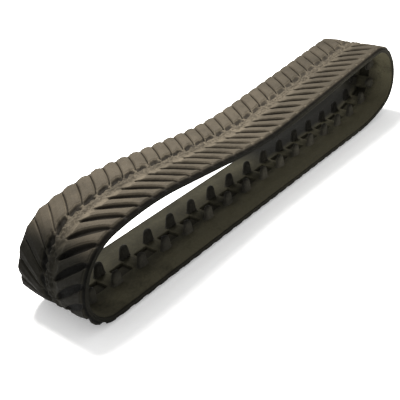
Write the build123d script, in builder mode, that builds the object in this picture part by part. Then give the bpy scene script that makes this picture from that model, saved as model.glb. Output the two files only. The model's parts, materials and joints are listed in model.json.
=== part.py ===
"""Rubber track of a compact machine: an endless belt 180 mm wide, 36 links of 72 mm pitch.

The belt is a rubber carcass with a chevron tread outside, one steel core with two guide
horns per link, and two bundles of steel cords that run round at the neutral layer.  The
endless belt is divided into sections that hinge at the cord layer, so that it can flex.

X runs along the track, Y across it, Z up.  The origin is on the floor, under the middle
of the belt.  Distances along the belt are counted at the cord layer, from a mark near
the middle of the bottom run, first towards +X.  Heights in the belt are counted from the
cord layer, positive towards the inside of the loop.
"""
import os
from math import cos, pi, radians, sin

from build123d import *

# ---- driving dimensions (millimetres, degrees) ----
BELT_WIDTH = 180
PITCH = 72
LINKS = 36

INNER_FACE = 7          # roller side of the carcass above the cord layer
EDGE_FACE = 3           # the same along the thinner lateral edges
OUTER_FACE = -3         # root of the tread below the cord layer
TREAD_FACE = -11        # tops of the lugs

FLEX_GAP = 1.2          # between neighbouring sections
OPEN_GAP = 3.0          # where the loop is opened, in the middle of the top run

ROOT_BACK_LINKS = 7     # links of the bottom run behind the origin
ROOT_FRONT_LINKS = 6    # links of the bottom run in front of it
FRONT_SECTIONS = (2, 2, 2, 2, 2, 2)   # links in each section round the front end
REAR_SECTIONS = (2, 2, 2, 2, 3)       # links in each section round the rear end

# bends of the free-standing loop: (radius, degrees), from the bottom run upwards
FRONT_BENDS = ((424, 19.5), (66, 68.0), (104, 97.5))
REAR_BENDS = ((68, 92.0), (106, 78.0), (636, 16.0))
FRONT_SAG_RADIUS = 1000
REAR_SAG_RADIUS = 1000
MARK_FORWARD = 27       # from the start of the front slope's sag forward to the mark

WINDOW_LENGTH = 38      # sprocket pocket between two cores, along the belt
WINDOW_WIDTH = 32
WINDOW_FLOOR = 0        # the pocket is closed on the tread side

CORE_LENGTH = 22        # steel core, along the belt
CORE_WIDTH = 116
CORE_BOTTOM = 2.6
CORE_TOP = 6
HORN_SPREAD = 25        # from the middle of the belt to the middle of a guide horn
HORN_THICKNESS = 11
HORN_BASE_LENGTH = 28
HORN_TOP_LENGTH = 18
HORN_TOP = 36

CORD_DIAMETER = 2.4
CORDS_PER_SIDE = 5
CORD_FIRST = 30         # from the middle of the belt to the first cord
CORD_SPACING = 9.5

LUGS_PER_LINK = 2
TREAD_SHIFT = 9         # of the grooves' inner ends against the lug pitch marks
TREAD_TOP_WIDTH = 172   # the lugs end here, and the shoulder slopes down to
TREAD_ROOT_WIDTH = 178
GROOVE_INNER = 12       # a groove between two lugs, from the middle of the belt
GROOVE_OUTER = 94       # beyond the shoulder, which each groove notches
GROOVE_WIDTH = 15       # at its widest
GROOVE_SWEEP = 54       # how far its outer end lies behind its inner end
GROOVE_BOW = 3          # how far it bows out of the straight
GROOVE_FLOOR = -4
NOTCH_LENGTH = 12       # small pocket at the inner end of each groove on the left
NOTCH_WIDTH = 9
NOTCH_FLOOR = -6

EDGE_BEVEL = 2          # lateral edges of the carcass, tread side
ROLLER_PATH_EDGE = 60   # from the middle of the belt; the carcass thins from here
EDGE_START = 74         # to here

# ---- values that follow from them ----
BELT_LENGTH = PITCH * LINKS
LUG_PITCH = PITCH / LUGS_PER_LINK
SIDE = BELT_WIDTH / 2


def excursion(stretches, heading=0.0):
    """How far a run of (length, curvature) stretches goes in x and z."""
    x = z = 0.0
    for length, curvature in stretches:
        if curvature == 0:
            x += length * cos(heading)
            z += length * sin(heading)
            continue
        end = heading + length * curvature
        x += (sin(end) - sin(heading)) / curvature
        z += (cos(heading) - cos(end)) / curvature
        heading = end
    return x, z


def bend(radius, angle):
    """A round stretch of the belt as (length, curvature)."""
    return radius * radians(angle), 1 / radius


def close_the_loop():
    """Stretches of the whole cord line, from the middle of the bottom run.

    The bends are given.  The bottom run and the two straight slopes of the top run take
    the lengths that close the loop at the length of the belt.
    """
    front = [bend(radius, angle) for radius, angle in FRONT_BENDS]
    rear = [bend(radius, angle) for radius, angle in reversed(REAR_BENDS)]
    front_dip = sum(angle for _, angle in FRONT_BENDS) - 180
    rear_dip = sum(angle for _, angle in REAR_BENDS) - 180
    sags = [
        (FRONT_SAG_RADIUS * radians(front_dip), -1 / FRONT_SAG_RADIUS),
        (REAR_SAG_RADIUS * radians(rear_dip), -1 / REAR_SAG_RADIUS),
    ]
    round_part = front + sags + rear
    x, z = 0.0, 0.0
    heading = 0.0
    for length, curvature in round_part:
        dx, dz = excursion([(length, curvature)], heading)
        x, z = x + dx, z + dz
        heading += length * curvature
    spare = BELT_LENGTH - sum(length for length, _ in round_part)
    f, r = radians(front_dip), radians(rear_dip)
    # bottom - front cos f - rear cos r = -x;  front sin f - rear sin r = z;
    # bottom + front + rear = spare
    a1, b1, c1 = 1 + cos(f), 1 + cos(r), spare + x
    a2, b2, c2 = sin(f), -sin(r), z
    det = a1 * b2 - a2 * b1
    front_slope = (c1 * b2 - c2 * b1) / det
    rear_slope = (a1 * c2 - a2 * c1) / det
    bottom = spare - front_slope - rear_slope
    front_x, _ = excursion(front)
    front_sag_x, _ = excursion(sags[:1], pi + f)
    front_reach = front_x + front_sag_x - front_slope * cos(f)
    front_bottom = -front_reach - MARK_FORWARD
    top = [(front_slope, 0.0)] + sags + [(rear_slope, 0.0)]
    return [(front_bottom, 0.0)] + front + top + rear + [(bottom - front_bottom, 0.0)]


STRETCHES = close_the_loop()
CORD_HEIGHT = -TREAD_FACE


def on_belt(distance, height=0.0, mark_x=None):
    """Point (x, z) and heading of the belt at a distance along it."""
    if mark_x is None:
        mark_x = MARK_X
    distance %= BELT_LENGTH
    x, z, heading = mark_x, CORD_HEIGHT, 0.0
    for length, curvature in STRETCHES:
        step = min(distance, length)
        dx, dz = excursion([(step, curvature)], heading)
        x, z, heading = x + dx, z + dz, heading + step * curvature
        distance -= step
        if distance <= 0:
            break
    return x - height * sin(heading), z + height * cos(heading), heading


def mark_from_centre():
    """Where the mark on the bottom run lies when the belt's two ends are equally far out."""
    reach = [on_belt(step, TREAD_FACE, mark_x=0.0)[0] for step in range(BELT_LENGTH)]
    return -(max(reach) + min(reach)) / 2


MARK_X = mark_from_centre()


def frame_at(distance, height=0.0):
    """Plane on the belt: x along it, y across it, z towards the inside of the loop."""
    x, z, heading = on_belt(distance, height)
    return Plane(
        origin=(x, 0, z),
        x_dir=(cos(heading), 0, sin(heading)),
        z_dir=(-sin(heading), 0, cos(heading)),
    )


def breaks(start, end):
    """Distances where the belt changes curvature between start and end, both included."""
    marks = [start]
    for turn in range(-1, 3):
        mark = turn * BELT_LENGTH
        for length, _ in STRETCHES:
            mark += length
            if start + 0.01 < mark < end - 0.01:
                marks.append(mark)
    return sorted(marks) + [end]


def trace(start, end, height):
    """Edges of a line that follows the belt at one height; adds them to the open line."""
    marks = breaks(start, end)
    for a, b in zip(marks[:-1], marks[1:]):
        first, middle, last = (on_belt(s, height)[:2] for s in (a, (a + b) / 2, b))
        if abs(on_belt(a + 0.001)[2] - on_belt(b - 0.001)[2]) < 1e-6:
            Line(first, last)
        else:
            ThreePointArc(first, middle, last)


def belt_layer(first, last, corners):
    """Solid that follows the belt between two distances, with (y, height) corners."""
    with BuildPart() as layer:
        with BuildLine(Plane.XZ) as path:
            trace(first, last, 0)
        with BuildSketch(cross_section(first)):
            with BuildLine():
                Polyline(*corners, close=True)
            make_face()
        sweep(path=path.line)
    return layer.part


def cross_section(distance):
    """Plane across the belt: its x is the belt's y, its y is the height in the belt."""
    along = frame_at(distance)
    return Plane(origin=along.origin, x_dir=along.y_dir, z_dir=along.x_dir)


def both_sides(outline):
    """Corners of a cross-section from those of its left half."""
    return outline + [(-y, height) for y, height in reversed(outline)]


def make_cores(name, start, end):
    """Steel cores of a section, one in the middle of each link, each with two guide horns."""
    with BuildPart() as cores:
        for link in range(round((end - start) / PITCH)):
            middle = start + (link + 0.5) * PITCH
            with BuildSketch(frame_at(middle, CORE_BOTTOM)):
                Rectangle(CORE_LENGTH, CORE_WIDTH)
            extrude(amount=CORE_TOP - CORE_BOTTOM)
            base = frame_at(middle)
            for side in (-1, 1):
                face = Plane(
                    origin=base.from_local_coords((0, side * HORN_SPREAD, 0)),
                    x_dir=base.x_dir,
                    z_dir=-base.y_dir,
                )
                with BuildSketch(face):
                    with BuildLine():
                        foot_a = (-HORN_BASE_LENGTH / 2, CORE_BOTTOM)
                        foot_b = (HORN_BASE_LENGTH / 2, CORE_BOTTOM)
                        neck_a = (-HORN_TOP_LENGTH / 2, HORN_TOP - HORN_TOP_LENGTH / 3)
                        neck_b = (HORN_TOP_LENGTH / 2, HORN_TOP - HORN_TOP_LENGTH / 3)
                        Line(foot_a, foot_b)
                        Line(foot_b, neck_b)
                        ThreePointArc(neck_b, (0, HORN_TOP), neck_a)
                        Line(neck_a, foot_a)
                    make_face()
                extrude(amount=HORN_THICKNESS / 2, both=True)
    cores.part.label = f"steel_cores_{name}"
    return cores.part


def make_cords(name, start, end):
    """Two bundles of steel cords, left and right of the sprocket pockets."""
    with BuildPart() as cords:
        with BuildLine(Plane.XZ) as path:
            trace(start, end, 0)
        for side in (-1, 1):
            for cord in range(CORDS_PER_SIDE):
                place = side * (CORD_FIRST + cord * CORD_SPACING)
                with BuildSketch(cross_section(start)):
                    with Locations((place, 0)):
                        Circle(CORD_DIAMETER / 2)
                sweep(path=path.line.moved(Location((0, place, 0))))
    cords.part.label = f"steel_cords_{name}"
    return cords.part


def make_carcass(name, start, end, cores, cords, first, last):
    """Rubber body of a section, with its sprocket pockets and the steel cut out of it."""
    half = [
        (SIDE - EDGE_BEVEL, OUTER_FACE),
        (SIDE, OUTER_FACE + EDGE_BEVEL),
        (SIDE, EDGE_FACE),
        (EDGE_START, EDGE_FACE),
        (ROLLER_PATH_EDGE, INNER_FACE),
    ]
    with BuildPart() as carcass:
        add(belt_layer(first, last, both_sides(half)))
        for mark in range(round((end - start) / PITCH) + 1):
            with BuildSketch(frame_at(start + mark * PITCH, WINDOW_FLOOR)):
                Rectangle(WINDOW_LENGTH, WINDOW_WIDTH)
                fillet(vertices(), WINDOW_WIDTH / 6)
            extrude(amount=2 * INNER_FACE, mode=Mode.SUBTRACT)
        add(cores, mode=Mode.SUBTRACT)
        add(cords, mode=Mode.SUBTRACT)
    carcass.part.label = f"rubber_carcass_{name}"
    return carcass.part


def make_tread(name, first, last):
    """Tread of a section: a raised layer with lens-shaped grooves that leave chevron lugs."""
    half = [(TREAD_TOP_WIDTH / 2, TREAD_FACE), (TREAD_ROOT_WIDTH / 2, OUTER_FACE)]
    with BuildPart() as tread:
        add(belt_layer(first, last, both_sides(half)))
        groove = int(first // LUG_PITCH) - 2
        while groove * LUG_PITCH < last + GROOVE_SWEEP:
            inner_end = (groove + 0.5) * LUG_PITCH + TREAD_SHIFT
            over_groove = frame_at(inner_end - GROOVE_SWEEP / 2, GROOVE_FLOOR)
            over_notch = frame_at(inner_end, NOTCH_FLOOR)
            cut = 2 * TREAD_FACE
            for side in (-1, 1):
                extrude(groove_outline(over_groove, side), amount=cut, mode=Mode.SUBTRACT)
            with BuildSketch(over_notch):
                with Locations((0, GROOVE_INNER - NOTCH_WIDTH / 4)):
                    Ellipse(NOTCH_LENGTH / 2, NOTCH_WIDTH / 2)
            extrude(amount=cut, mode=Mode.SUBTRACT)
            groove += 1
    tread.part.label = f"tread_lugs_{name}"
    return tread.part


def groove_outline(plane, side):
    """Sketch of one groove: two arcs that meet in a point at each end."""
    half_sweep, half_width = GROOVE_SWEEP / 2, GROOVE_WIDTH / 2
    inner, outer = (half_sweep, side * GROOVE_INNER), (-half_sweep, side * GROOVE_OUTER)
    middle = side * (GROOVE_INNER + GROOVE_OUTER) / 2
    with BuildSketch(plane) as outline:
        with BuildLine():
            ThreePointArc(inner, (GROOVE_BOW + half_width, middle), outer)
            ThreePointArc(outer, (GROOVE_BOW - half_width, middle), inner)
        make_face()
    return outline.sketch


def sections():
    """(name, start, end, first, last): link borders and cut faces of every section."""
    back, front = -ROOT_BACK_LINKS * PITCH, ROOT_FRONT_LINKS * PITCH
    gap, wide = FLEX_GAP / 2, OPEN_GAP / 2
    yield "bottom", back, front, back + gap, front - gap
    start = front
    for number, links in enumerate(FRONT_SECTIONS, 1):
        end = start + links * PITCH
        last = end - (wide if number == len(FRONT_SECTIONS) else gap)
        yield f"front_{number}", start, end, start + gap, last
        start = end
    end = back
    for number, links in enumerate(REAR_SECTIONS, 1):
        start = end - links * PITCH
        first = start + (wide if number == len(REAR_SECTIONS) else gap)
        yield f"rear_{number}", start, end, first, end - gap
        end = start


def main():
    os.makedirs("parts", exist_ok=True)
    for name, start, end, first, last in sections():
        cores = make_cores(name, start, end)
        cords = make_cords(name, first, last)
        carcass = make_carcass(name, start, end, cores, cords, first, last)
        tread = make_tread(name, first, last)
        for piece in (carcass, tread, cores, cords):
            export_step(piece, f"parts/{piece.label}.step")


main()
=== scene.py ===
"""Looks of the rubber track: a dusty endless belt with chevron lugs, standing free on a pale floor.

A place on the belt is (s, y, height): s is the distance in metres from a mark on the bottom run, up to
OPENING round the front end and down to OPENING - BELT_LENGTH round the rear end; left is +y; heights
above the cord line are positive towards the inside of the loop.
"""
import json
from math import cos, pi, radians, sin

import bpy
import numpy as np
from mathutils import Matrix, Vector

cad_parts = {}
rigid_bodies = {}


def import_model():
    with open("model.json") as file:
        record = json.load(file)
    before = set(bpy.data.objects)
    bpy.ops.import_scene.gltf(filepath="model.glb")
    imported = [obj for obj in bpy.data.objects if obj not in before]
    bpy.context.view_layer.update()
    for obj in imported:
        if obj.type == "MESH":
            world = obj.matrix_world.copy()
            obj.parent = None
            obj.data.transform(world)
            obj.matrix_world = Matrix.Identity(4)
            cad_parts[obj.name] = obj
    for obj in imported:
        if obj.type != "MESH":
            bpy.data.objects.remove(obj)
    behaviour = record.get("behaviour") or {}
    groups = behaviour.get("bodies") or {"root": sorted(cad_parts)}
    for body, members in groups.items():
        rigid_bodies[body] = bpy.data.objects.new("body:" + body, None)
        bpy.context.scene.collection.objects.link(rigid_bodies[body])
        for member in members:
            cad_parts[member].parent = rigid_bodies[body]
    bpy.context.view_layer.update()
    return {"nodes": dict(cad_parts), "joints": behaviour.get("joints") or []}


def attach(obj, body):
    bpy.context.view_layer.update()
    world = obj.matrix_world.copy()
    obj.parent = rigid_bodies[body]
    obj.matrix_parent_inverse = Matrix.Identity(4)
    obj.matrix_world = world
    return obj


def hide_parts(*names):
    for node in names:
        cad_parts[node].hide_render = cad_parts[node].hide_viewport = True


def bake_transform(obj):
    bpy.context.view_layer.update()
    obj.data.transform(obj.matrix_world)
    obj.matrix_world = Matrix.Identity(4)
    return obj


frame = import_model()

MM = 0.001

# ---- the belt, as in the CAD ----
PITCH = 72 * MM                     # one link: a core with its two horns, and two lugs of the tread
LINKS = 36
BELT_LENGTH = PITCH * LINKS
LUG_PITCH = PITCH / 2
OPENING = 18 * PITCH                # where the loop is opened, in the middle of the top run

INNER_FACE = 7 * MM                 # heights of the surfaces
EDGE_FACE = 3 * MM
OUTER_FACE = -3 * MM
TREAD_FACE = -11 * MM

FRONT_BENDS = ((424, 19.5), (66, 68.0), (104, 97.5))    # radii in mm and angles in degrees
REAR_BENDS = ((68, 92.0), (106, 78.0), (636, 16.0))
SAG_RADIUS = 1000 * MM
MARK_FORWARD = 27 * MM              # from the lowest point of the sag to the mark
STRAIGHT_BELOW = 1e-9               # curvature that counts as straight

# ---- noise ----
HASH_I, HASH_J, HASH_SEED, HASH_SCALE = 127.1, 311.7, 74.7, 43758.5453
CELLS_ACROSS = 500                  # keeps the numbers of the cells across positive

# ---- wear ----
WORN_FADES = (1.05, 1.75)           # going on from the mark, where wear gets less
WORN_RETURNS = (2.2, 2.55)          # and where it gets more again
WORN_SHARPNESS = 0.4                # share of crowns, pockets and notches left where wear is most

# ---- tread ----
TREAD_SHIFT = 9 * MM                # of the grooves, along the belt
TREAD_TOP = 83 * MM                 # the shoulder slopes from here
TREAD_ROOT = 89 * MM                # to here, at the carcass
TREAD_ACROSS = np.concatenate([
    np.linspace(0, 12, 9), np.linspace(14, 80, 29), [82, 83.5, 85, 86.4, 87.5, 88.4, 89, 89.3]
]) * MM

GROOVE_INNER = 12 * MM              # a groove's line runs between these distances from the middle
GROOVE_OUTER = 94 * MM
GROOVE_HALF_WIDTH = (7.6 * MM, 10.3 * MM)   # each pair: where wear is most, and where it is least
GROOVE_START = (13 * MM, 16 * MM)
GROOVE_END = (75 * MM, 86 * MM)
GROOVE_SWEEP = 54 * MM              # how far it runs along the belt
GROOVE_BOW = -3 * MM                # and how far it bows from straight
GROOVE_DEPTH = 7.6 * MM
GROOVE_BLUNTNESS = 3.0              # how square the ends of a groove are
GROOVE_FLOOR = 1.3                  # how soon a groove is at full depth
LEFT_NARROWER = 0.36                # left grooves, as shares of the right ones
LEFT_WIDENS = 0.25                  # more where wear is most
LEFT_SHALLOWER = 0.78

# section of a groove, in shares of its half-width and of its depth
LIP_REACH = 0.25 * MM
LUG_TOP_REACH = 1.4 * MM
LUG_TOP_STEPS = 8
STEEP_LIP, SLOPING_LIP = 0.07, 0.05
STEEP_WALL = ((-0.86, 0.6), (-0.66, 0.96), (-0.48, 1.0))
SLOPING_WALL_LEFT = ((-0.12, 0.70), (0.45, 0.32))
SLOPING_WALL_RIGHT = ((0.55, 0.93), (0.86, 0.5))

LEFT_CROWN = 2.4 * MM               # how far the lugs round up in their middle
RIGHT_CROWN = 0.8 * MM
LEFT_POCKET = 7.6 * MM              # depth of the pockets at the inner ends of the lugs
RIGHT_POCKET = 2.0 * MM
LUG_POCKET_REACH = 17 * MM
LUG_POCKET_ACROSS = 8 * MM
LUG_POCKET_PLACE = 16 * MM
LUG_POCKET_RAGGED = (0.35, 6 * MM, 4)       # share, cell and seed
SHOULDER_NOTCH = 6 * MM             # half length of the notch at the outer end of each groove
SHOULDER_NOTCH_DEPTH = 6 * MM
SHOULDER_NOTCH_FROM = (76 * MM, 83 * MM)
TREAD_NOISE = ((7 * MM, 1, 0.4), (19 * MM, 2, 0.6))     # cells, seeds and shares
TREAD_NOISE_HEIGHT = 0.6
MIDDLE_NOISE = (3.5 * MM, 3)
MIDDLE_NOISE_LIFT = 0.5
MIDDLE_NOISE_SHARE = 3.4
MIDDLE_NOISE_WITHIN = (15 * MM, 8 * MM)
TREAD_PROUD = 0.3 * MM              # how far the roughness may stand out of the tread face

# ---- carcass ----
# half of its section in mm, from the shoulder over the lateral edge and the roller strip to the middle
CARCASS_EDGE = ((88, -3.2), (89.3, -2.5), (90, -1.2), (90, 0.4), (89.5, 0.8), (89.5, 1.2), (90, 1.6),
                (90, 3.8), (89.7, 4.9), (89, 5.7), (88, 6.1), (86, 6.1), (83, 5.9), (78, 5.9), (74, 6.0),
                (70, 6.3), (66, 6.6), (62, 6.9), (60, 7.0))
CARCASS_INSIDE = (57, 52, 48, 43, 39, 36, 33, 30.5, 28, 25, 22, 20, 18.4, 17, 16, 15.2, 14, 11, 7, 3.5)
HALF_LINK = (0, 5, 10, 14, 16.4, 17.6, 18.4, 19.2, 20.4, 22.5, 25, 27.5, 30, 33)
WEAR_WITHIN = (84 * MM, 76 * MM)    # the roller side is uneven inside this, above WEAR_ABOVE
WEAR_ABOVE = 2 * MM
POCKET_HALF_LENGTH = 19 * MM        # drive pockets between the cores
POCKET_HALF_WIDTH = 16 * MM
POCKET_DEPTH = 7 * MM
POCKET_END_SLOPE = 2.2 * MM
POCKET_SIDE_SLOPE = (0.8 * MM, -1.6 * MM)
RIDGE_HEIGHT = 2.2 * MM             # rubber over each core, between the horns
RIDGE_ALONG = (14 * MM, 6 * MM)
RIDGE_ACROSS = (24 * MM, 12 * MM)
BAND_HEIGHT = 0.7 * MM              # and out to the roller strips
BAND_ALONG = (17 * MM, 9 * MM)
BAND_ACROSS = (70 * MM, 52 * MM)
CARCASS_NOISE = ((14 * MM, 5, 0.22), (45 * MM, 6, 0.35))
EDGE_CURL = 3 * MM
EDGE_CURL_ACROSS = (66 * MM, 86 * MM)

# ---- guide horns, with their rubber skin ----
HORN_SPREAD = 25 * MM
# each ring: height, half length and half thickness in mm
HORN_RINGS = ((4.0, 17, 9.5), (7.0, 15.8, 8.6), (8.4, 14.2, 7.4), (11.5, 13.2, 6.8), (19, 12.0, 6.4),
              (27, 10.6, 6.0), (32, 9.0, 5.5), (35, 6.8, 4.5), (36.6, 3.8, 2.7), (37.0, 0.6, 0.5))
HORN_TOP = 37
HORN_SIDES = 24
HORN_SQUARENESS = 0.75              # 1 is an ellipse, less is squarer
HORN_UNEVEN = 0.02
HORN_SEED = 8

# ---- stretches of the belt: from where to where they begin, and from where to where they end ----
FRONT_TOP = ((0.62, 0.75), (1.25, 1.0))             # front half of the top run
# the left roller strip here is darkened as painted shadow of the top run
LEFT_STRIP_SHADOWED = ((0.05, 0.16), (0.66, 0.54))           # left roller strip towards and round the front end
LEFT_CURLED = ((0.30, 0.42), (0.62, 0.52))          # left edge as the belt rises to the front end
RIGHT_CURLED = ((0.95, 1.10), (1.30, 1.20))         # right edge on the top run

# ---- dust, painted shadow and painted light, as shares; a pair of places says from where to where something eases in ----
INWARD, OUTWARD = 1, -1             # which way a surface of the belt faces
SETTLES_ON = (0.6, 1.0)             # upward part of the normal
FRONT_TOP_CLEANER = 0.25            # tread on the front half of the top run
SHOULDER_FROM = (TREAD_TOP - 4 * MM, TREAD_ROOT)
SHOULDER_CLEANER = 0.75
SPINE_WITHIN = (17 * MM, 8 * MM)    # middle of the tread near the rear end
SPINE_NEAR_REAR = (-1.25, -0.95)
# how much darker the middle of the tread is made there
SPINE_DARKER = 0.15

INNER_DUST = 0.22                   # roller side, everywhere
INNER_SETTLED = 0.28                # and more where it settles
LEFT_STRIP = (5 * MM, 35 * MM)
SHADOWED_TO_REAR = (-0.10, -0.30)      # painted shadow on the left strip, a little, here too
SHADOWED_TO_REAR_SHARE = 0.1
MIDDLE_DUST = 0.12                  # middle and right strip
MIDDLE_DUSTIER = (-0.15, 0.15)
MIDDLE_MORE = 0.30
# right roller strip: dust, raised further as painted light where the top run shades it
RIGHT_STRIP = (-20 * MM, -55 * MM)
STRIP_DUST_AND_LIGHT = 1.2
STRIP_SETTLED_AND_LIGHT = 0.8
STRIP_LIGHTER = (-0.45, 0.05)
STRIP_LEAST = 0.35                  # share of it before that
EDGE_FROM = (85 * MM, 88 * MM)      # lateral edges
EDGE_CLEANER = 0.9
EDGE_FRONT_TOP = 0.15

# ---- rubber and steel: noise as (cells a metre, detail, roughness), stops as (place, value) ----
BROAD_NOISE = (14, 5, 0.6)
FINE_NOISE = (160, 8, 0.7)
GRAIN_NOISE = (500, 5, 0.75)
STEEL_NOISE = (220, 6, 0.6)
FLOOR_NOISE = (1.5, 3, 0.6)
BROAD_SHARE, FINE_SHARE = 0.9, 0.6  # in the patches of dust
# painted highlight at the rims, then painted shade deeper down
RELIEF_STOPS = (0.0, 0.10, 0.24, 0.42, 0.66, 1.0)       # from the face down to the root
RELIEF_WALL = 0.9                   # shade halfway down
RELIEF_ROOT = 0.5                   # shade at the root, as a share of the deep shade
PATCHES = ((0.45, 0.0), (0.90, 1.0))
PATCH_DUST = 0.62
SPECKS = ((0.3, 0.76), (0.7, 1.16))
RUBBER_ROUGHNESS = ((0.3, 0.62), (0.75, 0.88))
BUMP_STRENGTH, BUMP_DISTANCE, BUMP_GRAIN = 0.5, 2 * MM, 0.4
STEEL_COLOUR = (0.45, 0.43, 0.40)
STEEL_SCALE = 0.6                   # how much darker the scale on it is
STEEL_SPOTS = (0.35, 0.65)
STEEL_ROUGHNESS = ((0.3, 0.3), (0.7, 0.5))

# ---- floor, light and camera ----
FLOOR_SIZE = 14
FLOOR_HEIGHT = -0.5 * MM
FLOOR_COLOURS = ((0.3, (0.90, 0.90, 0.90)), (0.7, (0.93, 0.93, 0.925)))
FLOOR_ROUGHNESS = 0.9
FLOOR_GLOW = 0.25
WORLD_STRENGTH = 0.8
KEY_PLACE, KEY_TARGET = (0.5, 1.3, 3.0), (0, 0, 0.1)
KEY_SIZE, KEY_POWER, KEY_COLOUR = 1.5, 270, (1.0, 0.98, 0.95)
CAMERA_PLACE = (-1.1739, -0.8699, 0.8163)
CAMERA_YAW, CAMERA_TILT, CAMERA_ROLL = radians(41.11), radians(30.01), radians(4.70)
LENS, SENSOR = 62.037, 36           # mm


# ---- path of the belt ----
def bends(table):
    """Round stretches as (length, curvature)."""
    return [(radius * MM * radians(angle), 1 / (radius * MM)) for radius, angle in table]


def excursion(stretches):
    """How far a run of stretches goes in x and z, and how far it turns."""
    x = z = heading = 0.0
    for length, curvature in stretches:
        if curvature == 0:
            x, z = x + length * cos(heading), z + length * sin(heading)
            continue
        end = heading + length * curvature
        x += (sin(end) - sin(heading)) / curvature
        z += (cos(heading) - cos(end)) / curvature
        heading = end
    return x, z, heading


def close_the_loop():
    """All stretches from the mark on the bottom run; the straight ones take what closes the loop."""
    front, rear = bends(FRONT_BENDS), bends(REAR_BENDS[::-1])
    front_dip = sum(angle for _, angle in FRONT_BENDS) - 180
    rear_dip = sum(angle for _, angle in REAR_BENDS) - 180
    f, r = radians(front_dip), radians(rear_dip)
    sags = [(SAG_RADIUS * f, -1 / SAG_RADIUS), (SAG_RADIUS * r, -1 / SAG_RADIUS)]
    x, z, _ = excursion(front + sags + rear)
    spare = BELT_LENGTH - sum(length for length, _ in front + sags + rear)
    sides = np.array([[1 + cos(f), 1 + cos(r)], [sin(f), -sin(r)]])
    front_slope, rear_slope = np.linalg.solve(sides, [spare + x, z])
    bottom = spare - front_slope - rear_slope
    top = [(front_slope, 0.0)] + sags + [(rear_slope, 0.0)]
    reach, _, _ = excursion(front + top[:2])
    ahead = -reach - MARK_FORWARD
    return [(ahead, 0.0)] + front + top + rear + [(bottom - ahead, 0.0)]


STRETCHES = close_the_loop()
LENGTHS = np.array([length for length, _ in STRETCHES])
CURVATURES = np.array([curvature for _, curvature in STRETCHES])
STARTS = np.concatenate([[0.0], np.cumsum(LENGTHS)[:-1]])
START_STATES = np.array([excursion(STRETCHES[:i]) for i in range(len(STRETCHES))])


def cord_line(s):
    """x, z and heading of the cord line at distances s, with the mark at x = 0."""
    s = np.mod(s, BELT_LENGTH)
    i = np.clip(np.searchsorted(STARTS, s, side="right") - 1, 0, len(STARTS) - 1)
    step, k = s - STARTS[i], CURVATURES[i]
    x0, z0, h0 = np.moveaxis(START_STATES[i], -1, 0)
    h1 = h0 + step * k
    bent = np.abs(k) > STRAIGHT_BELOW
    safe = np.where(bent, k, 1.0)
    x = x0 + np.where(bent, (np.sin(h1) - np.sin(h0)) / safe, step * np.cos(h0))
    z = z0 + np.where(bent, (np.cos(h0) - np.cos(h1)) / safe, step * np.sin(h0))
    return x, z, h1


def mark_from_centre():
    """x of the mark when both ends of the belt are equally far out."""
    x, _, heading = cord_line(np.arange(0, BELT_LENGTH, MM))
    reach = x - TREAD_FACE * np.sin(heading)
    return -(reach.max() + reach.min()) / 2


MARK_X = mark_from_centre()


def on_belt(s, y, height):
    """Points in the frame at distance s, across y and height above the cord line."""
    x, z, heading = cord_line(s)
    px = x + MARK_X - height * np.sin(heading)
    pz = z - TREAD_FACE + height * np.cos(heading)
    return np.stack([px, y + 0 * px, pz], axis=-1)


# ---- easing and noise ----
def smooth(edge0, edge1, value):
    """Eases from 0 at edge0 to 1 at edge1, whichever is the larger."""
    t = np.clip((value - edge0) / (edge1 - edge0), 0, 1)
    return t * t * (3 - 2 * t)


def on_stretch(stretch, s):
    """1 on a stretch of the belt, easing to 0 at both ends."""
    begins, ends = stretch
    return smooth(*begins, s) * smooth(*ends, s)


def hashed(i, j, seed):
    """A repeatable random number from 0 to 1 for each whole-numbered cell."""
    v = np.sin(i * HASH_I + j * HASH_J + seed * HASH_SEED) * HASH_SCALE
    return v - np.floor(v)


def noise(s, y, size, seed):
    """Smooth noise from -1 to 1 with cells of the given size; it closes round the belt."""
    cells = max(1, round(BELT_LENGTH / size))
    u, v = np.mod(s, BELT_LENGTH) / BELT_LENGTH * cells, y / size + CELLS_ACROSS
    i, j = np.floor(u), np.floor(v)
    fu, fv = smooth(0, 1, u - i), smooth(0, 1, v - j)
    i1 = np.mod(i + 1, cells)
    low = hashed(i, j, seed) * (1 - fu) + hashed(i1, j, seed) * fu
    high = hashed(i, j + 1, seed) * (1 - fu) + hashed(i1, j + 1, seed) * fu
    return 2 * (low * (1 - fv) + high * fv) - 1


def layers(s, y, table):
    """Noise in layers of (cell, seed, share)."""
    return sum(noise(s, y, cell, seed) * share for cell, seed, share in table)


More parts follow.
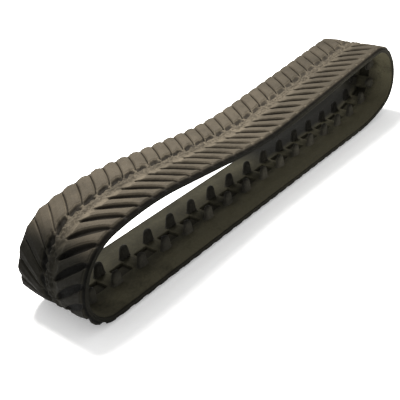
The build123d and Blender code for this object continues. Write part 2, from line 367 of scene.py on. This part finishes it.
# ---- meshes ----
def dust_and_painted_light_on(s, y, facing):
    """How much dust settles: most where a surface faces up, least on the shoulders and the lateral edges.
    The left roller strip loses dust as painted shadow, the right one gets extra as painted light, and the
    middle of the tread near the rear end is made darker.
    """
    settled = smooth(*SETTLES_ON, facing * np.cos(cord_line(s)[2]))
    front_top = on_stretch(FRONT_TOP, s)
    if facing == INWARD:
        left, right = smooth(*LEFT_STRIP, y), smooth(*RIGHT_STRIP, y)
        # painted shadow of the top run on the left roller strip: it takes the dust off
        painted_shadow = left * (on_stretch(LEFT_STRIP_SHADOWED, s) + SHADOWED_TO_REAR_SHARE * smooth(*SHADOWED_TO_REAR, s))
        middle = MIDDLE_DUST + MIDDLE_MORE * smooth(*MIDDLE_DUSTIER, s)
        inner = (INNER_DUST + INNER_SETTLED * settled) * (1 - painted_shadow) + middle * (1 - left)
        lighter_share = STRIP_LEAST + (1 - STRIP_LEAST) * smooth(*STRIP_LIGHTER, s)
        # the right strip: dust and painted light
        strip = lighter_share * (STRIP_DUST_AND_LIGHT + STRIP_SETTLED_AND_LIGHT * settled) * right
        edge = smooth(*EDGE_FROM, np.abs(y))
        return (inner + strip) * (1 - EDGE_CLEANER * edge) + EDGE_FRONT_TOP * edge * front_top
    spine = smooth(*SPINE_WITHIN, np.abs(y)) * smooth(*SPINE_NEAR_REAR, s) * (s < 0)
    shoulder = smooth(*SHOULDER_FROM, np.abs(y)) * (1 - front_top)
    kept = (1 - SHOULDER_CLEANER * shoulder) * (1 - SPINE_DARKER * spine)
    return settled * kept * (1 - FRONT_TOP_CLEANER * front_top)


def mesh_object(name, points, faces, belt, relief, facing):
    """Object from points and faces; keeps (s, y, height), relief (for painted shade and highlight) and dust
    with painted shadow and light for the materials.
    """
    mesh = bpy.data.meshes.new(name)
    mesh.from_pydata(points.tolist(), [], faces)
    mesh.attributes.new("belt", "FLOAT_VECTOR", "POINT").data.foreach_set(
        "vector", belt.astype(np.float32).ravel()
    )
    mesh.attributes.new("relief", "FLOAT", "POINT").data.foreach_set(
        "value", relief.astype(np.float32)
    )
    mesh.polygons.foreach_set("use_smooth", [True] * len(mesh.polygons))
    mesh.update()
    # settled carries dust, with painted shadow and painted light
    mesh.attributes.new("settled", "FLOAT", "POINT").data.foreach_set(
        "value", dust_and_painted_light_on(belt[:, 0], belt[:, 1], facing).astype(np.float32)
    )
    obj = bpy.data.objects.new(name, mesh)
    bpy.context.scene.collection.objects.link(obj)
    return obj


def grid_mesh(name, s, y, height, relief, facing):
    """Object from a grid that follows the belt."""
    rows, columns = s.shape
    points = on_belt(s, y, height).reshape(-1, 3)
    index = np.arange(rows * columns).reshape(rows, columns)
    corners = [index[:-1, :-1], index[:-1, 1:], index[1:, 1:], index[1:, :-1]]
    faces = np.stack(corners, axis=-1).reshape(-1, 4).tolist()
    belt = np.stack([s, y, height], -1).reshape(-1, 3)
    return mesh_object(name, points, faces, belt, relief.ravel(), facing)


def unworn_at(s):
    """From 0 where the belt is most worn to 1 where it is least worn."""
    s = np.mod(s, BELT_LENGTH)
    return smooth(*WORN_FADES, s) * (1 - smooth(*WORN_RETURNS, s))


def groove_line(across, unworn):
    """Along-belt shift, half-width and depth of a groove at a distance from the middle."""
    widest, start, end = ((1 - unworn) * low + unworn * high
                          for low, high in (GROOVE_HALF_WIDTH, GROOVE_START, GROOVE_END))
    t = np.clip((across - GROOVE_INNER) / (GROOVE_OUTER - GROOVE_INNER), 0, 1)
    shift = GROOVE_SWEEP * (0.5 - t) + GROOVE_BOW * 4 * t * (1 - t)
    u = np.clip((across - start) / (end - start), 0, 1)
    fullness = np.sqrt(1 - np.abs(2 * u - 1) ** GROOVE_BLUNTNESS)
    return shift, widest * fullness, GROOVE_DEPTH * np.minimum(1, GROOVE_FLOOR * fullness)


def groove_section(half, left):
    """One lug pitch as lists of distances from the groove's middle and of shares of its depth."""
    edge, lip = half + LUG_TOP_REACH, half + LIP_REACH
    top = [edge + (LUG_PITCH / 2 - edge) * k / LUG_TOP_STEPS for k in range(LUG_TOP_STEPS + 1)]
    sloping = [(np.where(left, l, r) * half, np.where(left, l_depth, r_depth))
               for (l, l_depth), (r, r_depth) in zip(SLOPING_WALL_LEFT, SLOPING_WALL_RIGHT)]
    section = [(-distance, 0.0) for distance in top[:0:-1]] + [(-lip, STEEP_LIP)]
    section += [(share * half, depth) for share, depth in STEEP_WALL] + sloping
    section += [(lip, SLOPING_LIP)] + [(distance, 0.0) for distance in top[:-1]]
    return zip(*section)


def tread_mesh(name, first, last):
    """Tread surface between two lug middles, from shoulder to shoulder."""
    y = np.concatenate([-TREAD_ACROSS[:0:-1], TREAD_ACROSS])[:, None]
    a = np.abs(y)
    unworn = unworn_at((first + last) / 2)
    shift, half, depth = groove_line(a, unworn)
    half = np.where(y > 0, (LEFT_NARROWER + LEFT_WIDENS * (1 - unworn)) * half, half)
    depth = np.where(y > 0, LEFT_SHALLOWER * depth, depth)
    grooves = np.arange(round(first / LUG_PITCH), round(last / LUG_PITCH))
    centre = (grooves + 0.5) * LUG_PITCH + TREAD_SHIFT - GROOVE_SWEEP / 2
    distances, levels = groove_section(half, y > 0)
    s = np.concatenate(
        [np.concatenate([c + shift + d for d in distances], 1) for c in centre]
        + [centre[-1] + shift + LUG_PITCH / 2],
        axis=1,
    )
    local = np.concatenate(distances, 1)
    dip = np.concatenate([depth * level for level in levels], 1)
    local = np.concatenate([np.tile(local, len(centre)), 0 * a + LUG_PITCH / 2], 1)
    dip = np.concatenate([np.tile(dip, len(centre)), 0 * a], 1)
    y = y + 0 * s
    a = np.abs(y)
    sharpness = WORN_SHARPNESS + (1 - WORN_SHARPNESS) * unworn_at(s)
    crown = np.where(y > 0, LEFT_CROWN, RIGHT_CROWN) * (1 - (local / (LUG_PITCH / 2)) ** 2) * sharpness
    height = TREAD_FACE + dip + crown
    # pockets at the inner ends of the lugs, deep on the left and shallow on the right
    share, cell, seed = LUG_POCKET_RAGGED
    ragged = 1 + share * noise(s, y, cell, seed)
    along = (LUG_PITCH / 2 - np.abs(local)) / (LUG_POCKET_REACH * ragged)
    across = (a - LUG_POCKET_PLACE) / (LUG_POCKET_ACROSS * ragged)
    pocket = np.exp(-(along**4 + across**4))
    height += pocket * np.where(y > 0, LEFT_POCKET, RIGHT_POCKET) * np.sqrt(sharpness)
    notch = np.exp(-((local / SHOULDER_NOTCH) ** 4)) * smooth(*SHOULDER_NOTCH_FROM, a)
    height = np.maximum(height, TREAD_FACE + notch * SHOULDER_NOTCH_DEPTH * sharpness)
    # shoulder down to the carcass
    slope = np.clip((a - TREAD_TOP) / (TREAD_ROOT - TREAD_TOP), 0, 1)
    height = height + (OUTER_FACE - height) * smooth(0, 1, slope)
    middle = (noise(s, y, *MIDDLE_NOISE) + MIDDLE_NOISE_LIFT) * MIDDLE_NOISE_SHARE
    rough = layers(s, y, TREAD_NOISE) + middle * smooth(*MIDDLE_NOISE_WITHIN, a)
    height = height + rough * MM * TREAD_NOISE_HEIGHT * (1 - slope)
    # relief: depth below the face, for painted highlight at the rims and painted shade deeper down
    relief = np.clip((height - crown - TREAD_FACE) / (OUTER_FACE - TREAD_FACE), 0, 1)
    height = np.maximum(height, TREAD_FACE - TREAD_PROUD)
    return grid_mesh(name, s[:, ::-1], y[:, ::-1], height[:, ::-1], relief[:, ::-1], OUTWARD)


def carcass_mesh(name, first, last):
    """Sides and roller side of the carcass, with lips, pockets and core ridges."""
    half = [(y * MM, h * MM) for y, h in CARCASS_EDGE] + [(y * MM, INNER_FACE) for y in CARCASS_INSIDE]
    rows = half + [(0.0, INNER_FACE)] + [(-y, h) for y, h in reversed(half)]
    y = np.array([row[0] for row in rows])[:, None]
    base = np.array([row[1] for row in rows])[:, None]
    near = np.array(HALF_LINK) * MM
    link = np.concatenate([near, [PITCH / 2], PITCH - near[:0:-1]])
    numbers = np.arange(round(first / PITCH), round(last / PITCH))
    s = np.concatenate([link + number * PITCH for number in numbers] + [[last]])[None, :]
    y, s = y + 0 * s, s + 0 * y
    base = base + 0 * s
    from_pocket = np.abs(np.mod(s + PITCH / 2, PITCH) - PITCH / 2)
    from_core = PITCH / 2 - from_pocket
    a = np.abs(y)
    uneven = smooth(*WEAR_WITHIN, a) * (base > WEAR_ABOVE)
    wide_from, wide_to = (POCKET_HALF_WIDTH + beyond for beyond in POCKET_SIDE_SLOPE)
    pocket = smooth(POCKET_HALF_LENGTH, POCKET_HALF_LENGTH - POCKET_END_SLOPE, from_pocket)
    pocket = pocket * smooth(wide_from, wide_to, a)
    height = base - POCKET_DEPTH * pocket
    height += RIDGE_HEIGHT * (smooth(*RIDGE_ALONG, from_core) * smooth(*RIDGE_ACROSS, a))
    height += BAND_HEIGHT * (smooth(*BAND_ALONG, from_core) * smooth(*BAND_ACROSS, a) * uneven)
    height += layers(s, y, CARCASS_NOISE) * MM * uneven
    curled = np.where(y > 0, on_stretch(LEFT_CURLED, s), on_stretch(RIGHT_CURLED, s))
    height += EDGE_CURL * smooth(*EDGE_CURL_ACROSS, a) * (base > EDGE_FACE) * curled
    # the pocket mask goes in as relief, for painted shade in the pockets
    return grid_mesh(name, s, y, height, np.clip(pocket, 0, 1), INWARD)


def horn_mesh(name, first, last):
    """The rubber-covered guide horns of a section, as rounded, tapered fins."""
    points, faces, belt, relief = [], [], [], []
    turn = np.arange(HORN_SIDES) / HORN_SIDES * 2 * pi
    c, w = np.cos(turn), np.sin(turn)
    long_way = np.sign(c) * np.abs(c) ** HORN_SQUARENESS
    thick_way = np.sign(w) * np.abs(w) ** HORN_SQUARENESS
    for link in range(round(first / PITCH), round(last / PITCH)):
        for side in (-1, 1):
            middle = (link + 0.5) * PITCH
            taller = 1 + HORN_UNEVEN * (hashed(link, side, HORN_SEED) - 0.5)
            x, z, heading = (float(v[0]) for v in cord_line(np.array([middle])))
            start = len(points)
            for height, length, thickness in HORN_RINGS:
                u, h = length * MM * long_way, height * MM * taller
                px = x + MARK_X + u * cos(heading) - h * sin(heading)
                py = side * HORN_SPREAD + thickness * MM * thick_way
                pz = z - TREAD_FACE + u * sin(heading) + h * cos(heading)
                points += np.stack([px, py, pz], -1).tolist()
                belt += np.stack([middle + u, py, h + 0 * u], -1).tolist()
                # relief rises to the tip, so painted shade darkens the horns towards their tips
                relief += [height / HORN_TOP] * HORN_SIDES
            for ring in range(len(HORN_RINGS) - 1):
                a, b = start + ring * HORN_SIDES, start + (ring + 1) * HORN_SIDES
                for i in range(HORN_SIDES):
                    j = (i + 1) % HORN_SIDES
                    faces.append([a + i, a + j, b + j, b + i])
            tip = start + (len(HORN_RINGS) - 1) * HORN_SIDES
            faces.append([tip + i for i in range(HORN_SIDES)])
    return mesh_object(name, np.array(points), faces, np.array(belt), np.array(relief), INWARD)


# ---- node trees ----
def new_material(name):
    material = bpy.data.materials.new(name)
    material.use_nodes = True
    nodes, links = material.node_tree.nodes, material.node_tree.links
    return material, nodes, links, nodes["Principled BSDF"]


def noise_node(nodes, links, source, settings):
    """Noise texture with settings (cells a metre, detail, roughness)."""
    node = nodes.new("ShaderNodeTexNoise")
    for socket, value in zip(("Scale", "Detail", "Roughness"), settings):
        node.inputs[socket].default_value = value
    links.new(source, node.inputs["Vector"])
    return node.outputs["Fac"]


def ramp_node(nodes, links, source, stops):
    """Colour ramp through stops of (place, grey) or (place, colour)."""
    node = nodes.new("ShaderNodeValToRGB")
    ramp = node.color_ramp
    while len(ramp.elements) < len(stops):
        ramp.elements.new(0.5)
    for element, (place, colour) in zip(ramp.elements, stops):
        element.position = place
        element.color = (*colour, 1) if isinstance(colour, tuple) else (colour, colour, colour, 1)
    links.new(source, node.inputs["Fac"])
    return node.outputs["Color"]


def math_node(nodes, links, operation, a, b):
    node = nodes.new("ShaderNodeMath")
    node.operation = operation
    for socket, value in zip(node.inputs, (a, b)):
        if isinstance(value, (int, float)):
            socket.default_value = value
        else:
            links.new(value, socket)
    return node.outputs[0]


def mix_node(nodes, links, factor, a, b, blend="MIX"):
    node = nodes.new("ShaderNodeMix")
    node.data_type = "RGBA"
    node.blend_type = blend
    # a Mix node has sockets for every data type: 0 is the factor, 6 and 7 are the colours
    for socket, value in ((node.inputs[0], factor), (node.inputs[6], a), (node.inputs[7], b)):
        if isinstance(value, (int, float)):
            socket.default_value = value
        elif isinstance(value, tuple):
            socket.default_value = (*value, 1)
        else:
            links.new(value, socket)
    return node.outputs[2]


def attribute_node(nodes, name):
    node = nodes.new("ShaderNodeAttribute")
    node.attribute_name = name
    return node


def rubber(name, clean, dusty, dust_amount, painted_relief_shade, sheen, rim_highlight_and_dust=1.0):
    """Dusty rubber: clean colour under patches of dust, which also carry painted shadow and painted light;
    lighter at rims by painted highlight and dust; darker in deep relief by painted shade.
    """
    material, nodes, links, shader = new_material(name)
    belt = attribute_node(nodes, "belt").outputs["Vector"]
    relief = attribute_node(nodes, "relief").outputs["Fac"]
    settled = attribute_node(nodes, "settled").outputs["Fac"]
    broad = noise_node(nodes, links, belt, BROAD_NOISE)
    fine = noise_node(nodes, links, belt, FINE_NOISE)
    grain = noise_node(nodes, links, belt, GRAIN_NOISE)
    patches = math_node(nodes, links, "ADD", math_node(nodes, links, "MULTIPLY", broad, BROAD_SHARE),
                        math_node(nodes, links, "MULTIPLY", fine, FINE_SHARE))
    dust = math_node(nodes, links, "MULTIPLY", ramp_node(nodes, links, patches, PATCHES), PATCH_DUST)
    dust = math_node(nodes, links, "ADD", dust, dust_amount)
    # settled brings painted shadow and painted light in with the dust
    dust = math_node(nodes, links, "MULTIPLY", dust, settled)
    colour = mix_node(nodes, links, dust, clean, dusty)
    # painted highlight at the rims, then painted shade deeper in the relief
    shades = (1.0, 1.0, rim_highlight_and_dust, RELIEF_WALL, painted_relief_shade, painted_relief_shade * RELIEF_ROOT)
    for source, stops in ((relief, tuple(zip(RELIEF_STOPS, shades))), (grain, SPECKS)):
        shade = ramp_node(nodes, links, source, stops)
        colour = mix_node(nodes, links, 1.0, colour, shade, "MULTIPLY")
    links.new(colour, shader.inputs["Base Color"])
    links.new(ramp_node(nodes, links, fine, RUBBER_ROUGHNESS), shader.inputs["Roughness"])
    bump = nodes.new("ShaderNodeBump")
    bump.inputs["Strength"].default_value = BUMP_STRENGTH
    bump.inputs["Distance"].default_value = BUMP_DISTANCE
    grain_height = math_node(nodes, links, "MULTIPLY", grain, BUMP_GRAIN)
    links.new(math_node(nodes, links, "ADD", fine, grain_height), bump.inputs["Height"])
    links.new(bump.outputs["Normal"], shader.inputs["Normal"])
    shader.inputs["Specular IOR Level"].default_value = sheen
    return material


def steel(name):
    """Steel with faint scale, for the cords inside the rubber."""
    material, nodes, links, shader = new_material(name)
    place = nodes.new("ShaderNodeTexCoord").outputs["Object"]
    spots = noise_node(nodes, links, place, STEEL_NOISE)
    dark = tuple(c * STEEL_SCALE for c in STEEL_COLOUR)
    colour = ramp_node(nodes, links, spots, tuple(zip(STEEL_SPOTS, (dark, STEEL_COLOUR))))
    links.new(colour, shader.inputs["Base Color"])
    links.new(ramp_node(nodes, links, spots, STEEL_ROUGHNESS), shader.inputs["Roughness"])
    shader.inputs["Metallic"].default_value = 1.0
    return material


# tread: painted shade in deep relief, painted highlight and dust at the groove rims
TREAD_MATERIAL = rubber(
    "tread_rubber_dust_and_painted_light", clean=(0.0085, 0.0078, 0.0056), dusty=(0.072, 0.0605, 0.0440),
    dust_amount=0.46, painted_relief_shade=0.30, sheen=0.06, rim_highlight_and_dust=1.7,
)
# carcass: painted shade in the drive pockets
INNER_MATERIAL = rubber(
    "carcass_rubber_dust_and_painted_light", clean=(0.0055, 0.0054, 0.0045), dusty=(0.085, 0.078, 0.050),
    dust_amount=0.18, painted_relief_shade=0.7, sheen=0.04,
)
# horns: painted shade towards their tips
HORN_MATERIAL = rubber(
    "horn_rubber", clean=(0.0085, 0.0083, 0.0075), dusty=(0.085, 0.079, 0.060),
    dust_amount=0.12, painted_relief_shade=0.9, sheen=0.06,
)
CORD_MATERIAL = steel("cord_steel")


# ---- pieces on the bodies of the frame ----
def hinges_round_the_belt():
    """Distance of each hinge and the bodies before and after it, from the joints of the frame."""
    distances = np.arange(0, BELT_LENGTH, MM)
    x, z, _ = cord_line(distances)
    hinges = []
    for joint in frame["joints"]:
        px, _, pz = joint["pos_m"]
        k = int(np.argmin((x + MARK_X - px) ** 2 + (z - TREAD_FACE - pz) ** 2))
        s = round(distances[k] / PITCH) * PITCH
        before, after = joint["parent"], joint["child"]
        if joint["child"].startswith("rear"):
            s -= BELT_LENGTH
            before, after = after, before
        hinges.append((s, before, after))
    return sorted(hinges)


HINGES = hinges_round_the_belt()


def sections(cuts):
    """The stretches left between cuts of (first, last, body before, body after), with their bodies."""
    firsts = [OPENING - BELT_LENGTH] + [last for _, last, _, _ in cuts]
    lasts = [first for first, _, _, _ in cuts] + [OPENING]
    bodies = [cuts[0][2]] + [after for _, _, _, after in cuts]
    return [section for section in zip(firsts, lasts, bodies) if section[1] - section[0] > MM]


def node_name(kind, body):
    return f"{kind}_{'bottom' if body == 'bottom_run' else body}"


def dress(make, kind, node_kind, material):
    """Makes one kind of surface in pieces that reach across one hinge each or ride on one body."""
    cuts = [(s - PITCH, s + PITCH, before, after) for s, before, after in HINGES]
    pieces = []
    for (s, _, _), (first, last, before, after) in zip(HINGES, cuts):
        piece = make(f"{kind}_{before}_to_{after}", first, last)
        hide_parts(*(node_name(node_kind, body) for body in (before, after)))
        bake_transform(piece)
        pieces.append(piece)
    for first, last, body in sections(cuts):
        piece = make(f"{kind}_{body}", first, last)
        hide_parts(node_name(node_kind, body))
        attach(piece, body)
        pieces.append(piece)
    for piece in pieces:
        piece.data.materials.append(material)


dress(tread_mesh, "tread", "tread_lugs", TREAD_MATERIAL)
dress(carcass_mesh, "carcass", "rubber_carcass", INNER_MATERIAL)

for first, last, body in sections([(s, s, before, after) for s, before, after in HINGES]):
    horns = horn_mesh(f"guide_horns_{body}", first, last)
    horns.data.materials.append(HORN_MATERIAL)
    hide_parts(node_name("steel_cores", body))
    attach(horns, body)

for name, node in frame["nodes"].items():
    if name.startswith("steel_cords"):
        node.data.materials.clear()
        node.data.materials.append(CORD_MATERIAL)


# ---- floor, light and camera ----
def floor():
    bpy.ops.mesh.primitive_plane_add(size=FLOOR_SIZE, location=(0, 0, FLOOR_HEIGHT))
    plane = bpy.context.object
    plane.name = "floor"
    material, nodes, links, shader = new_material("floor_pale")
    place = nodes.new("ShaderNodeTexCoord").outputs["Object"]
    cloud = noise_node(nodes, links, place, FLOOR_NOISE)
    links.new(ramp_node(nodes, links, cloud, FLOOR_COLOURS), shader.inputs["Base Color"])
    shader.inputs["Roughness"].default_value = FLOOR_ROUGHNESS
    shader.inputs["Emission Color"].default_value = (1, 1, 1, 1)
    shader.inputs["Emission Strength"].default_value = FLOOR_GLOW
    plane.data.materials.append(material)


def key_light():
    """Large soft light, high on the left."""
    data = bpy.data.lights.new("key", "AREA")
    data.shape = "DISK"
    data.size = KEY_SIZE
    data.energy = KEY_POWER
    data.color = KEY_COLOUR
    obj = bpy.data.objects.new("key", data)
    obj.location = KEY_PLACE
    obj.rotation_euler = (Vector(KEY_TARGET) - Vector(KEY_PLACE)).to_track_quat("-Z", "Y").to_euler()
    bpy.context.scene.collection.objects.link(obj)


def world():
    studio = bpy.data.worlds.new("studio")
    studio.use_nodes = True
    background = studio.node_tree.nodes["Background"]
    background.inputs["Color"].default_value = (1.0, 1.0, 1.0, 1)
    background.inputs["Strength"].default_value = WORLD_STRENGTH
    bpy.context.scene.world = studio


def camera():
    """Looks down at the rear end and along the right side, rolled a little."""
    forward = Vector((cos(CAMERA_TILT) * cos(CAMERA_YAW), cos(CAMERA_TILT) * sin(CAMERA_YAW),
                      -sin(CAMERA_TILT)))
    right = Vector((sin(CAMERA_YAW), -cos(CAMERA_YAW), 0))
    down = forward.cross(right)
    turned_right = right * cos(CAMERA_ROLL) + down * sin(CAMERA_ROLL)
    turned_down = down * cos(CAMERA_ROLL) - right * sin(CAMERA_ROLL)
    data = bpy.data.cameras.new("camera")
    data.sensor_width = SENSOR
    data.lens = LENS
    obj = bpy.data.objects.new("camera", data)
    axes = Matrix((turned_right, -turned_down, -forward)).transposed()
    obj.matrix_world = Matrix.Translation(CAMERA_PLACE) @ axes.to_4x4()
    bpy.context.scene.collection.objects.link(obj)
    bpy.context.scene.camera = obj


floor()
world()
key_light()
bpy.context.scene.view_settings.view_transform = "Standard"
camera()
